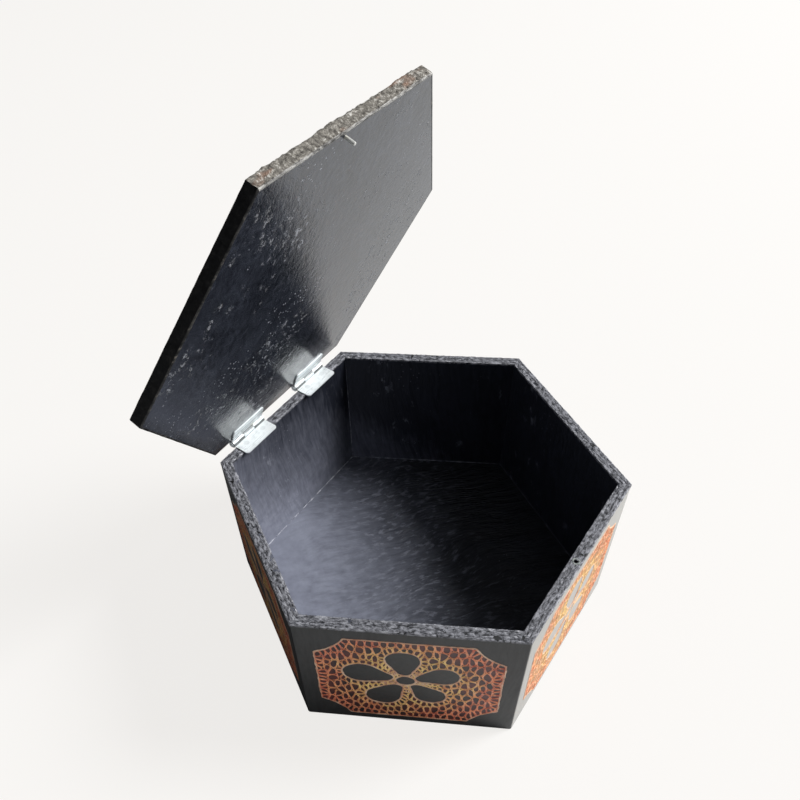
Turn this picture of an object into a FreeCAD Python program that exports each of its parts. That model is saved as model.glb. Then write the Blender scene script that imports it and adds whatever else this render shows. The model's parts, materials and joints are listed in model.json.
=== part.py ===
"""Hexagonal wooden trinket box with inlaid ornament and a hinged, pin-latched lid.

Millimetres, +Z up. The origin is the centre of the underside, the latch wall faces -Y and the hinge wall
faces +Y. The lid is modelled shut and then swung open to its resting angle.
"""

import FreeCAD, Part
import math
import os

# ---- box -------------------------------------------------------------------------------------------------
SIDE_LENGTH = 80.0          # outer side of the hexagon
WALL_HEIGHT = 70.3
WALL_THICKNESS = 4.3
FLOOR_THICKNESS = 3.0
FLOOR_CLEARANCE = 0.1       # glue line between the floor panel and the walls
CORNER_RADIUS = 1.2         # worn vertical corners of the box and the lid
ARRIS_RADIUS = 0.4          # worn long edges of the box and the lid

# ---- lid -------------------------------------------------------------------------------------------------
LID_THICKNESS = 4.5
LID_REST_ANGLE = 70.0       # how far the lid stands open

# ---- hinges ----------------------------------------------------------------------------------------------
HINGE_LENGTH = 18.2
HINGE_SPACING = 39.6        # between the middles of the two hinges
HINGE_SHIFT = -1.7          # of the pair of hinges along the hinge wall, off its middle
LEAF_THICKNESS = 0.5
LEAF_PLAY = 0.2             # between the two leaves of a shut hinge
LEAF_REACH = 8.6            # from the hinge pin's axis to the free edge of a leaf
LEAF_CORNER_RADIUS = 1.2
PIVOT_OUTSET = 2.0          # from the hinge wall's outer face to the hinge pin's axis
KNUCKLE_RADIUS = 1.65
KNUCKLE_COUNT = 3
KNUCKLE_GAP = 0.2
HINGE_PIN_RADIUS = 0.7
HINGE_PIN_CLEARANCE = 0.05
HINGE_PIN_HEAD_RADIUS = 1.1
HINGE_PIN_HEAD_LENGTH = 0.4

# ---- hinge nails -----------------------------------------------------------------------------------------
NAIL_SPACING = 10.0         # between the two nails of one leaf
NAIL_RADIUS = 0.6
NAIL_HEAD_RADIUS = 1.15
NAIL_CLEARANCE = 0.05
NAIL_LENGTH = 3.2           # below the countersunk head

# ---- latch pin -------------------------------------------------------------------------------------------
LATCH_PIN_RADIUS = 0.6
LATCH_PIN_PROJECTION = 3.6  # out of the lid's underside
LATCH_SHIFT = -3.4          # of the pin along the lid's front edge, off its middle
LATCH_PIN_ROOT = 2.6        # inside the lid
LATCH_PIN_SEAT_CLEARANCE = 0.03
LATCH_HOLE_CLEARANCE = 0.2
LATCH_HOLE_SPARE_DEPTH = 1.0

# ---- inlaid ornament -------------------------------------------------------------------------------------
INLAY_THICKNESS = 0.6
INLAY_CLEARANCE = 0.05
INLAY_SIDE_MARGIN = 6.3     # from the panel to the wall's vertical corners
INLAY_TOP_MARGIN = 6.3
INLAY_BOTTOM_MARGIN = 4.2
INLAY_CORNER_CUT = 11.0     # along each edge, taken off by the hollow corners
INLAY_CORNER_OUTSET = 11.6  # from the panel's sharp corner out to the centre of its hollow corner
LID_INLAY_MARGIN = 9.0
LID_INLAY_CORNER_CUT = 13.0
LID_INLAY_CORNER_OUTSET = 14.0

FLOWER_TURN = 4.0           # degrees, the flower stands a little askew
FLOWER_LIFT = 1.4           # of the flower above the middle of a wall's panel
FLOWER_SHIFT = -1.1         # of the flower to the left of that middle, as one looks at the wall
PETAL_ROOT_DISTANCE = 6.8   # from the flower's centre to the centre of a petal's narrow end
PETAL_ROOT_RADIUS = 2.6
PETAL_TIP_DISTANCE = 14.8
PETAL_TIP_RADIUS = 6.0
PETAL_SIZES = (1.03, 1.12, 1.08, 0.96, 0.98)  # hand-cut petals, each against the sizes above
FLOWER_EYE_RADIUS = 3.4
LID_FLOWER_SCALE = 2.0

# ---- worked out from the sizes above ---------------------------------------------------------------------
SIDES = 6
APOTHEM = SIDE_LENGTH / 2 / math.tan(math.pi / SIDES)
LID_GAP = 2 * LEAF_THICKNESS + LEAF_PLAY
LID_UNDERSIDE = WALL_HEIGHT + LID_GAP
PIVOT_Y = APOTHEM + PIVOT_OUTSET
PIVOT_Z = WALL_HEIGHT + LID_GAP / 2
WALL_MIDDLE = APOTHEM - WALL_THICKNESS / 2
CUT_MARGIN = 5.0            # how far cutting tools reach past the surface they cut

X_AXIS = FreeCAD.Vector(1, 0, 0)
Y_AXIS = FreeCAD.Vector(0, 1, 0)
Z_AXIS = FreeCAD.Vector(0, 0, 1)
ORIGIN = FreeCAD.Vector(0, 0, 0)

WALL_NAMES = ("front", "front_right", "back_right", "back", "back_left", "front_left")


def export(name, *solids):
    """Writes one node: a single solid, or a group of identical ones."""
    shape = solids[0] if len(solids) == 1 else Part.makeCompound(list(solids))
    shape.exportStep(os.path.join("parts", name + ".step"))


def moved(shape, x=0.0, y=0.0, z=0.0):
    copy = shape.copy()
    copy.translate(FreeCAD.Vector(x, y, z))
    return copy


def turned(shape, degrees, axis=Z_AXIS, centre=ORIGIN):
    copy = shape.copy()
    copy.rotate(centre, axis, degrees)
    return copy


def opened(shape):
    """Swings a piece of the shut lid to the angle at which the lid rests."""
    return turned(shape, -LID_REST_ANGLE, X_AXIS, FreeCAD.Vector(0, PIVOT_Y, PIVOT_Z))


# ---- outlines --------------------------------------------------------------------------------------------
def polygon_face(corners):
    points = [FreeCAD.Vector(x, y, 0) for x, y in corners]
    return Part.Face(Part.makePolygon(points + points[:1]))


def hexagon_corners(apothem):
    """Corners of a hexagon with one flat side towards -Y."""
    radius = apothem / math.cos(math.pi / SIDES)
    angles = [2 * math.pi * k / SIDES for k in range(SIDES)]
    return [(radius * math.cos(a), radius * math.sin(a)) for a in angles]


def rectangle_corners(half_width, half_height):
    signs = ((-1, -1), (1, -1), (1, 1), (-1, 1))
    return [(sx * half_width, sy * half_height) for sx, sy in signs]


def hexagon_block(height):
    """The full hexagonal block of the box's outline, with its worn corners and arrises."""
    block = polygon_face(hexagon_corners(APOTHEM)).extrude(FreeCAD.Vector(0, 0, height))
    upright = [e for e in block.Edges if abs(e.tangentAt(e.FirstParameter).z) > 0.5]
    block = block.makeFillet(CORNER_RADIUS, upright)
    level = [e for e in block.Edges if e.BoundBox.ZLength < 1e-6]
    return block.makeFillet(ARRIS_RADIUS, level)


def hollow_cornered_plate(corners, half_angle, cut, outset, thickness, grow=0.0):
    """A plate whose corners are scooped out by round cutters that stand outside them.

    half_angle is half of the outline's inner angle at each corner. cut is the length taken off each edge and
    outset the distance from the sharp corner to the cutter's centre. grow makes the whole outline larger.
    """
    radius = math.hypot(outset + cut * math.cos(half_angle), cut * math.sin(half_angle)) - grow
    corner_grow = grow / math.sin(half_angle)
    grown = []
    cutters = []
    for x, y in corners:
        distance = math.hypot(x, y)
        bisector = corner_bisector(corners, (x, y))
        grown.append((x + corner_grow * bisector[0], y + corner_grow * bisector[1]))
        centre = FreeCAD.Vector(x + outset * bisector[0], y + outset * bisector[1], -CUT_MARGIN)
        cutters.append(Part.makeCylinder(radius, thickness + 2 * CUT_MARGIN, centre))
    plate = polygon_face(grown).extrude(FreeCAD.Vector(0, 0, thickness))
    return plate.cut(cutters)


def corner_bisector(corners, corner):
    """Unit vector that points out of a convex outline at one of its corners, midway between its edges."""
    index = corners.index(corner)
    vector = [0.0, 0.0]
    for other in (corners[index - 1], corners[(index + 1) % len(corners)]):
        dx = corner[0] - other[0]
        dy = corner[1] - other[1]
        length = math.hypot(dx, dy)
        vector[0] += dx / length
        vector[1] += dy / length
    size = math.hypot(*vector)
    return vector[0] / size, vector[1] / size


def petal(scale, thickness, grow=0.0):
    """One petal, along +X from the flower's centre: two round ends joined by tangent lines."""
    root = PETAL_ROOT_DISTANCE * scale
    tip = PETAL_TIP_DISTANCE * scale
    root_radius = PETAL_ROOT_RADIUS * scale + grow
    tip_radius = PETAL_TIP_RADIUS * scale + grow
    normal_x = (root_radius - tip_radius) / (tip - root)
    normal_y = math.sqrt(1 - normal_x ** 2)

    def tangent_point(distance, radius, side):
        return FreeCAD.Vector(distance + radius * normal_x, side * radius * normal_y, 0)

    tip_arc = Part.Arc(
        tangent_point(tip, tip_radius, -1),
        FreeCAD.Vector(tip + tip_radius, 0, 0),
        tangent_point(tip, tip_radius, 1),
    )
    root_arc = Part.Arc(
        tangent_point(root, root_radius, 1),
        FreeCAD.Vector(root - root_radius, 0, 0),
        tangent_point(root, root_radius, -1),
    )
    upper = Part.LineSegment(tangent_point(tip, tip_radius, 1), tangent_point(root, root_radius, 1))
    lower = Part.LineSegment(tangent_point(root, root_radius, -1), tangent_point(tip, tip_radius, -1))
    outline = Part.Wire([tip_arc.toShape(), upper.toShape(), root_arc.toShape(), lower.toShape()])
    return Part.Face(outline).extrude(FreeCAD.Vector(0, 0, thickness))


def flower(scale, thickness, grow=0.0):
    """The petals and the round eye of one flower, as separate solids."""
    solids = []
    for k, size in enumerate(PETAL_SIZES):
        angle = 90 + FLOWER_TURN + 360 * k / len(PETAL_SIZES)
        solids.append(turned(petal(scale * size, thickness, grow), angle))
    solids.append(Part.makeCylinder(FLOWER_EYE_RADIUS * scale + grow, thickness))
    return solids


# ---- wall ornament, drawn flat with its underside at z = 0 -----------------------------------------------
def wall_plate(thickness, grow=0.0):
    half_width = SIDE_LENGTH / 2 - INLAY_SIDE_MARGIN
    half_height = (WALL_HEIGHT - INLAY_TOP_MARGIN - INLAY_BOTTOM_MARGIN) / 2
    corners = rectangle_corners(half_width, half_height)
    return hollow_cornered_plate(
        corners, math.pi / 4, INLAY_CORNER_CUT, INLAY_CORNER_OUTSET, thickness, grow
    )


def lid_plate(thickness, grow=0.0):
    corners = hexagon_corners(APOTHEM - LID_INLAY_MARGIN)
    return hollow_cornered_plate(
        corners, math.pi / 3, LID_INLAY_CORNER_CUT, LID_INLAY_CORNER_OUTSET, thickness, grow
    )


def wall_flower(thickness, grow=0.0):
    return [moved(p, FLOWER_SHIFT, FLOWER_LIFT) for p in flower(1.0, thickness, grow)]


def on_front_wall(shape, depth):
    """Stands a flat piece up in the front wall, its underside at the given depth behind the outer face."""
    middle = (WALL_HEIGHT - INLAY_TOP_MARGIN + INLAY_BOTTOM_MARGIN) / 2
    return moved(turned(shape, 90, X_AXIS), y=depth - APOTHEM, z=middle)


# ---- hinges, built at x = 0 and shut ---------------------------------------------------------------------
def knuckle_spans(owner):
    """Start and end along X of each knuckle of the box leaf (owner 0) or of the lid leaf (owner 1)."""
    pitch = HINGE_LENGTH / KNUCKLE_COUNT
    spans = []
    for k in range(owner, KNUCKLE_COUNT, 2):
        start = -HINGE_LENGTH / 2 + k * pitch + (KNUCKLE_GAP / 2 if k > 0 else 0)
        end = -HINGE_LENGTH / 2 + (k + 1) * pitch - (KNUCKLE_GAP / 2 if k < KNUCKLE_COUNT - 1 else 0)
        spans.append((start, end))
    return spans


def along_x(radius, start, end):
    """A cylinder about the hinge pin's axis."""
    return Part.makeCylinder(radius, end - start, FreeCAD.Vector(start, PIVOT_Y, PIVOT_Z), X_AXIS)


def nail_places():
    return [-NAIL_SPACING / 2, NAIL_SPACING / 2]


def nail(grow=0.0):
    """A countersunk nail that points down, its head's flat top at z = 0."""
    head = Part.makeCone(
        NAIL_RADIUS + grow, NAIL_HEAD_RADIUS + grow, LEAF_THICKNESS, FreeCAD.Vector(0, 0, -LEAF_THICKNESS)
    )
    length = NAIL_LENGTH + grow
    shank = Part.makeCylinder(NAIL_RADIUS + grow, length, FreeCAD.Vector(0, 0, -LEAF_THICKNESS - length))
    return head.fuse(shank).removeSplitter()


def box_nails(grow=0.0):
    """The nails that hold a box leaf down on the rim."""
    top = WALL_HEIGHT + LEAF_THICKNESS
    return [moved(nail(grow), x, WALL_MIDDLE, top) for x in nail_places()]


def lid_nails(grow=0.0):
    """The nails that hold a lid leaf up against the lid's underside."""
    low = LID_UNDERSIDE - LEAF_THICKNESS
    return [moved(turned(nail(grow), 180, X_AXIS), x, WALL_MIDDLE, low) for x in nail_places()]


def hinge_leaf(owner):
    """The box leaf (owner 0) or the lid leaf (owner 1): a flat plate rolled into knuckles."""
    low = WALL_HEIGHT if owner == 0 else LID_UNDERSIDE - LEAF_THICKNESS
    plate = Part.makeBox(
        HINGE_LENGTH, LEAF_REACH, LEAF_THICKNESS, FreeCAD.Vector(-HINGE_LENGTH / 2, PIVOT_Y - LEAF_REACH, low)
    )
    free_corners = [
        e for e in plate.Edges
        if e.BoundBox.ZLength > LEAF_THICKNESS / 2 and e.BoundBox.YMax < PIVOT_Y - LEAF_REACH / 2
    ]
    leaf = plate.makeFillet(LEAF_CORNER_RADIUS, free_corners)
    for start, end in knuckle_spans(1 - owner):
        room = along_x(KNUCKLE_RADIUS + KNUCKLE_GAP, start - KNUCKLE_GAP, end + KNUCKLE_GAP)
        leaf = leaf.cut(room)
    for start, end in knuckle_spans(owner):
        leaf = leaf.fuse(along_x(KNUCKLE_RADIUS, start, end))
    bore = along_x(HINGE_PIN_RADIUS + HINGE_PIN_CLEARANCE, -HINGE_LENGTH, HINGE_LENGTH)
    nails = box_nails(NAIL_CLEARANCE) if owner == 0 else lid_nails(NAIL_CLEARANCE)
    return leaf.cut([bore] + nails).removeSplitter()


def hinge_pin():
    """The hinge's pin, headed at both ends."""
    half = HINGE_LENGTH / 2 + HINGE_PIN_CLEARANCE
    head_end = half + HINGE_PIN_HEAD_LENGTH
    pin = along_x(HINGE_PIN_RADIUS, -head_end, head_end)
    for start in (-head_end, half):
        pin = pin.fuse(along_x(HINGE_PIN_HEAD_RADIUS, start, start + HINGE_PIN_HEAD_LENGTH))
    return pin.removeSplitter()


# ---- latch -----------------------------------------------------------------------------------------------
def latch_pin():
    """The short pin that stands down near the middle of the lid's front edge, its tip rounded."""
    tip_z = LID_UNDERSIDE - LATCH_PIN_PROJECTION
    length = LATCH_PIN_PROJECTION + LATCH_PIN_ROOT
    pin = Part.makeCylinder(LATCH_PIN_RADIUS, length, FreeCAD.Vector(LATCH_SHIFT, -WALL_MIDDLE, tip_z))
    tip_edges = [e for e in pin.Edges if e.BoundBox.ZMax < tip_z + LATCH_PIN_RADIUS]
    return pin.makeFillet(LATCH_PIN_RADIUS / 2, tip_edges)


def latch_pin_socket():
    radius = LATCH_PIN_RADIUS + LATCH_PIN_SEAT_CLEARANCE
    depth = LATCH_PIN_ROOT + LATCH_PIN_SEAT_CLEARANCE
    return Part.makeCylinder(radius, depth, FreeCAD.Vector(LATCH_SHIFT, -WALL_MIDDLE, LID_UNDERSIDE))


def latch_hole():
    """The blind hole in the front wall's rim that takes the latch pin when the lid is shut."""
    depth = LATCH_PIN_PROJECTION - LID_GAP + LATCH_HOLE_SPARE_DEPTH
    return Part.makeCylinder(
        LATCH_PIN_RADIUS + LATCH_HOLE_CLEARANCE,
        depth + CUT_MARGIN,
        FreeCAD.Vector(LATCH_SHIFT, -WALL_MIDDLE, WALL_HEIGHT - depth),
    )


# ---- wooden pieces ---------------------------------------------------------------------------------------
def blank_wall(outer_block):
    """The front wall before its holes: a board with mitred ends."""
    half = SIDE_LENGTH / 2
    inner_half = half - WALL_THICKNESS * math.tan(math.pi / SIDES)
    inner_y = WALL_THICKNESS - APOTHEM
    corners = [(-half, -APOTHEM), (half, -APOTHEM), (inner_half, inner_y), (-inner_half, inner_y)]
    outline = polygon_face(corners)
    board = outline.extrude(FreeCAD.Vector(0, 0, WALL_HEIGHT))
    pocket = on_front_wall(wall_plate(INLAY_THICKNESS + CUT_MARGIN, INLAY_CLEARANCE), INLAY_THICKNESS)
    return board.common(outer_block).cut(pocket)


def export_walls():
    blank = blank_wall(hexagon_block(WALL_HEIGHT))
    plate = wall_plate(INLAY_THICKNESS).cut(wall_flower(INLAY_THICKNESS, INLAY_CLEARANCE))
    plate = on_front_wall(plate, INLAY_THICKNESS)
    petals = [on_front_wall(p, INLAY_THICKNESS) for p in wall_flower(INLAY_THICKNESS)]
    for k, name in enumerate(WALL_NAMES):
        angle = 360 * k / SIDES
        wall = turned(blank, angle)
        if name == "front":
            wall = wall.cut(latch_hole())
        if name == "back":
            pilots = [moved(n, x) for x in hinge_centres() for n in box_nails(NAIL_CLEARANCE)]
            wall = wall.cut(pilots)
        export(name + "_wall", wall)
        export(name + "_ornament", turned(plate, angle))
        export(name + "_flower", *[turned(p, angle) for p in petals])


def export_floor():
    apothem = APOTHEM - WALL_THICKNESS - FLOOR_CLEARANCE
    floor = polygon_face(hexagon_corners(apothem)).extrude(FreeCAD.Vector(0, 0, FLOOR_THICKNESS))
    export("floor_panel", floor)


def on_lid_top(shape):
    return moved(shape, z=LID_UNDERSIDE + LID_THICKNESS - INLAY_THICKNESS)


def export_lid():
    lid = moved(hexagon_block(LID_THICKNESS), z=LID_UNDERSIDE)
    pocket = on_lid_top(lid_plate(INLAY_THICKNESS + CUT_MARGIN, INLAY_CLEARANCE))
    pilots = [moved(n, x) for x in hinge_centres() for n in lid_nails(NAIL_CLEARANCE)]
    lid = lid.cut([pocket, latch_pin_socket()] + pilots)
    plate = lid_plate(INLAY_THICKNESS).cut(flower(LID_FLOWER_SCALE, INLAY_THICKNESS, INLAY_CLEARANCE))
    petals = flower(LID_FLOWER_SCALE, INLAY_THICKNESS)
    export("lid_panel", opened(lid))
    export("lid_ornament", opened(on_lid_top(plate)))
    export("lid_flower", *[opened(on_lid_top(p)) for p in petals])
    export("latch_pin", opened(latch_pin()))


def hinge_centres():
    return [HINGE_SHIFT - HINGE_SPACING / 2, HINGE_SHIFT + HINGE_SPACING / 2]


def export_hinges():
    for side, x in zip(("left", "right"), hinge_centres()):
        prefix = side + "_hinge_"
        export(prefix + "box_leaf", moved(hinge_leaf(0), x))
        export(prefix + "lid_leaf", opened(moved(hinge_leaf(1), x)))
        export(prefix + "pin", moved(hinge_pin(), x))
        export(prefix + "box_nails", *[moved(n, x) for n in box_nails()])
        export(prefix + "lid_nails", *[opened(moved(n, x)) for n in lid_nails()])


os.makedirs("parts", exist_ok=True)
export_walls()
export_floor()
export_lid()
export_hinges()
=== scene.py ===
"""Looks of the hexagonal inlaid box: camera, light, finishes, raised mosaic lines and worn paint edges."""
import json
import math
import random
from collections import namedtuple

import bpy
from mathutils import Matrix, Vector, noise


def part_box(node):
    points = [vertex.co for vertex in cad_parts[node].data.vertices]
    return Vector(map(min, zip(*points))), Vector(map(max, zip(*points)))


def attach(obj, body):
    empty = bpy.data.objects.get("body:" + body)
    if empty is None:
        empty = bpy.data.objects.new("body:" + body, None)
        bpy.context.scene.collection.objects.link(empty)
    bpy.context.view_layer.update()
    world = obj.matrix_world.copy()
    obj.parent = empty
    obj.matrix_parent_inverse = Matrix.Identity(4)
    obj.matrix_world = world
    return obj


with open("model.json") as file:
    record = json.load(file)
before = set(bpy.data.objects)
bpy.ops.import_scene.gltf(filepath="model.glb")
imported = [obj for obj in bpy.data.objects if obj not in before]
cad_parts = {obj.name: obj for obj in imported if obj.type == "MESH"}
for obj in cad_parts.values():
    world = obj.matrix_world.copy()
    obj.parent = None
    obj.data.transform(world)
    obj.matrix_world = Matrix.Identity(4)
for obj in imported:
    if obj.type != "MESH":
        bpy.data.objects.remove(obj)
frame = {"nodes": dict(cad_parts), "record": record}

noise.seed_set(1)   # without a seed, noise_vector differs from run to run
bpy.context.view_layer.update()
MM = 0.001

# ---- sizes read from the frame (metres) ----
FRONT_LOW, FRONT_HIGH = (Vector(c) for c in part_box("front_wall"))
APOTHEM = -FRONT_LOW.y
WALL_THICKNESS = FRONT_HIGH.y - FRONT_LOW.y
WALL_HEIGHT = FRONT_HIGH.z
FLOOR_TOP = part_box("floor_panel")[1][2]
HALF_SIDE_RATIO = math.tan(math.pi / 6)   # half a side of a hexagon over its apothem
JOINT = frame["record"]["behaviour"]["joints"][0]
PIVOT = Vector(JOINT["pos_m"])
KNUCKLE_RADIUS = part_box("left_hinge_box_leaf")[1][1] - PIVOT.y
REST_OPENING = math.radians(-JOINT["range_deg"][0])
WALLS = ("front", "front_right", "back_right", "back", "back_left", "front_left")

# ---- ornament (millimetres, drawn flat on its panel, with the sizes of the solids under it) ----
CORNER_CUT = 11.0
CORNER_OUTSET = 11.6
LID_CORNER_CUT = 13.0
LID_CORNER_OUTSET = 14.0
PETAL_SIZES = (1.03, 1.12, 1.08, 0.96, 0.98)
FLOWER_TURN = math.radians(4.0)
FLOWER_LIFT = 1.4
FLOWER_SHIFT = -1.1
PETAL_ROOT = (6.8, 2.6)      # distance from the flower's centre, radius
PETAL_TIP = (14.8, 6.0)
EYE_RADIUS = 3.4
LID_FLOWER_SCALE = 2.0
RAY_END = 9.6                # of the two short lines between neighbouring petals
RAY_SPREAD = 0.05            # radians, from the middle between the petals to each of them
CELL_SPACING = 2.55
LINE_WIDTH = 0.60
LID_CELL_SPACING = 3.7
LID_LINE_WIDTH = 0.7
DRAWING_SEEDS = (11, 12)     # two drawings take turns round the box
LID_DRAWING_SEED = 21
CELL_HEIGHTS = (0.13, 0.05)  # of the raised lines round the cells: the least and its spread
EDGE_HEIGHT = 0.18
PETAL_HEIGHT = 0.20
RAY_HEIGHT = 0.16
EYE_HEIGHT = 0.22
MOSAIC_REACH = 0.034         # metres from the flower's centre at which the gold has turned to copper red
LID_MOSAIC_REACH = 0.062

# ---- worn paint and glue (metres) ----
RIM_SKIRT = 1.1 * MM         # how far the rim's crust runs down the outer faces
LATCH_HOLE_OPENING = 0.8 * MM
HOLE_RING_RADIUS = 1.2 * MM
HOLE_RING_THICKNESS = 0.30 * MM
FLOOR_BEAD_RADIUS = 0.26 * MM
CORNER_BEAD_RADIUS = 0.17 * MM
FADE_LENGTH = 0.5 * MM       # over which a skin of paint thins out at its end
BURIED_END = 0.02 * MM       # how deep that end goes below the surface

# ---- camera ----
CAMERA_PLACE = (-2.0385, -1.2844, 2.8814)   # in sides of the hexagon, from the middle of the rim
CAMERA_HEADING = 38.63       # degrees, as the two below
CAMERA_DESCENT = 47.47
CAMERA_ROLL = -3.53
CAMERA_LENS = 34.6
CAMERA_SHIFT = (0.0464, 0.0484)

# ---- light ----
KEY_HEADING = -40.0          # degrees, where the key light stands round the box
KEY_ELEVATION = 42.0
KEY_DISTANCE = 2.6
KEY_SIZE = 0.95
KEY_POWER = 90.0
KEY_TARGET = (0, 0, 0.08)
FILL_STRENGTH = 0.16
FILL_COLOUR = (0.94, 0.97, 1.0, 1)
BACKDROP_COLOUR = (1.0, 0.985, 0.965, 1)
GROUND_HALF_SIZE = 6.0
GROUND_DROP = 0.0003         # below the box, so that the two surfaces stay apart
GROUND_GLOW = 0.85           # share of its own white in what the camera sees of the ground
LIGHT_POOL_FALL = (0.80, -0.60, 1.05)   # the way along which the painted light inside the box fades into painted shade, towards the walls that shade the inside from the key light
LIGHT_POOL_SPAN = (-0.044, 0.045)       # from full painted light to none, along that way

OPENING = (
    Matrix.Translation(PIVOT) @ Matrix.Rotation(-REST_OPENING, 4, "X") @ Matrix.Translation(-PIVOT)
)


def shut_box(node):
    """Lowest and highest corners of a lid node when the lid is shut."""
    closing = OPENING.inverted()
    points = [closing @ v.co for v in frame["nodes"][node].data.vertices]
    low = Vector(min(p[i] for p in points) for i in range(3))
    high = Vector(max(p[i] for p in points) for i in range(3))
    return low, high


# ---- shader helpers ----
class Shader:
    """A node material; each helper adds one node and returns its output socket."""

    def __init__(self, name):
        self.material = bpy.data.materials.new(name)
        self.material.use_nodes = True
        self.tree = self.material.node_tree
        self.tree.nodes.clear()

    def node(self, kind, inputs=(), output=0, **settings):
        made = self.tree.nodes.new(kind)
        for key, value in settings.items():
            setattr(made, key, value)
        for key, value in dict(inputs).items():
            self.connect(value, made.inputs[key])
        return made.outputs[output]

    def connect(self, value, socket):
        if isinstance(value, bpy.types.NodeSocket):
            self.tree.links.new(value, socket)
        else:
            socket.default_value = value

    def coordinates(self, turn=(0, 0, 0)):
        return self.mapped(self.node("ShaderNodeTexCoord", output="Object"), turn)

    def mapped(self, vector, turn=(0, 0, 0), scale=(1, 1, 1)):
        return self.node("ShaderNodeMapping", {"Vector": vector, "Rotation": turn, "Scale": scale})

    def noise(self, vector, scale, detail=4.0, roughness=0.55):
        return self.node(
            "ShaderNodeTexNoise",
            {"Vector": vector, "Scale": scale, "Detail": detail, "Roughness": roughness},
        )

    def cells(self, vector, scale):
        return self.node("ShaderNodeTexVoronoi", {"Vector": vector, "Scale": scale}, output="Distance")

    def math(self, operation, a, b=0.0, clamp=False):
        return self.node("ShaderNodeMath", {0: a, 1: b}, operation=operation, use_clamp=clamp)

    def plus(self, a, b):
        return self.math("ADD", a, b)

    def times(self, a, b):
        return self.math("MULTIPLY", a, b)

    def vector(self, operation, a, b=(0, 0, 0), output=0):
        return self.node("ShaderNodeVectorMath", {0: a, 1: b}, output, operation=operation)

    def span(self, value, low, high, to_low=0.0, to_high=1.0):
        return self.node(
            "ShaderNodeMapRange",
            {"Value": value, "From Min": low, "From Max": high, "To Min": to_low, "To Max": to_high},
        )

    def mix(self, factor, a, b):
        made = self.tree.nodes.new("ShaderNodeMix")
        made.data_type = "RGBA"
        for value, socket in ((factor, made.inputs[0]), (a, made.inputs[6]), (b, made.inputs[7])):
            self.connect(value, socket)
        return made.outputs[2]

    def bump(self, height, distance, strength=1.0, normal=None):
        inputs = {"Height": height, "Distance": distance, "Strength": strength}
        if normal is not None:
            inputs["Normal"] = normal
        return self.node("ShaderNodeBump", inputs)

    def with_painted_light(self, tone, painted_light):
        """Turns a tone towards the painted light's colour, by its least share face on and its most when
        grazing: a pale colour paints a sheen, a dark one paints shade.
        """
        if painted_light is None:
            return tone
        facing = self.node("ShaderNodeLayerWeight", {"Blend": 0.5}, output="Facing")
        return self.mix(self.span(facing, 0.60, 0.90, painted_light.least, painted_light.most), tone, painted_light.colour)

    def finish_with_painted_light(self, tone, painted_light, roughness, normal):
        """The material of a surface, with any painted sheen or painted shade that it is given."""
        return self.finish(Base_Color=self.with_painted_light(tone, painted_light), Roughness=roughness, Normal=normal,
                           Specular_IOR_Level=gloss_for_painted_light(painted_light))

    def finish(self, **inputs):
        """The material, from the principled shader's inputs, with underscores for spaces in their names."""
        names = {key.replace("_", " "): value for key, value in inputs.items()}
        surface = self.node("ShaderNodeBsdfPrincipled", names)
        self.node_output(surface)
        return self.material

    def node_output(self, surface):
        made = self.tree.nodes.new("ShaderNodeOutputMaterial")
        self.tree.links.new(surface, made.inputs["Surface"])


def rgb(red, green, blue):
    """Linear colour from sRGB values of 0 to 255."""
    def linear(value):
        value /= 255
        return value / 12.92 if value <= 0.04045 else ((value + 0.055) / 1.055) ** 2.4
    return linear(red), linear(green), linear(blue), 1.0


# Painted light on the paint and on the inlay of a wall: its least share, its share at grazing angles, its
# colour and its gloss. On the latch side it is a painted pale sheen at grazing angles, where that wall faces
# the key light; on the side left of the hinges it is painted shade, with little gloss, where that wall is
# turned from the key light.
PaintedLight = namedtuple("PaintedLight", "least most colour gloss")
GLOSS = 0.35
PAINTED_LIGHTS = {
    # painted sheen: pale at grazing angles on the latch wall, which faces the key light
    "front": (
        PaintedLight(0.0, 0.52, rgb(240, 238, 232), GLOSS),
        PaintedLight(0.0, 0.52, rgb(255, 208, 142), GLOSS),
    ),
    # painted shade: darker, darkest at grazing angles, with little gloss, on the wall turned from the key
    # light
    "back_left": (
        PaintedLight(0.3, 0.8, rgb(12, 12, 11), 0.04),
        PaintedLight(0.6, 0.85, rgb(44, 19, 14), 0.04),
    ),
}


def gloss_for_painted_light(painted_light):
    return GLOSS if painted_light is None else painted_light.gloss


# ---- materials ----
def swirled(s, place, amount, scale=18.0):
    """Coordinates bent by slow noise, so that strokes curve as a hand's do."""
    drift = s.node("ShaderNodeTexNoise", {"Vector": place, "Scale": scale, "Detail": 2.0}, output="Color")
    centred = s.vector("SUBTRACT", drift, (0.5, 0.5, 0.5))
    shift = s.node("ShaderNodeVectorMath", {0: centred, "Scale": amount}, operation="SCALE")
    return s.vector("ADD", place, shift)


def dust(s, place, scale, spread, amount):
    """Small specks, thick in some patches and rare in others."""
    grains = s.cells(place, scale)
    patches = s.noise(place, spread, 3.0)
    limit = s.span(patches, 0.46, 0.74, 0.0, amount)
    return s.math("LESS_THAN", grains, limit)


def brushed_paint(s, place, dark, light, aspect=7.0, across=620.0):
    """Tone and height of thin black paint laid with a coarse brush along the X axis of place."""
    fine = s.noise(s.mapped(place, scale=(1 / aspect, 1, 1)), across, 5.0, 0.65)
    broad = s.noise(s.mapped(place, scale=(1 / aspect, 1, 1)), across / 5, 3.0, 0.55)
    cloud = s.noise(place, 30.0, 3.0)
    tone = s.mix(s.span(fine, 0.34, 0.70), dark, light)
    tone = s.mix(s.span(cloud, 0.35, 0.7, 0.0, 0.5), tone, light)
    tone = s.mix(s.span(broad, 0.35, 0.6, 0.45, 0.0), tone, dark)
    return tone, s.plus(fine, s.times(broad, 1.2)), fine


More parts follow.
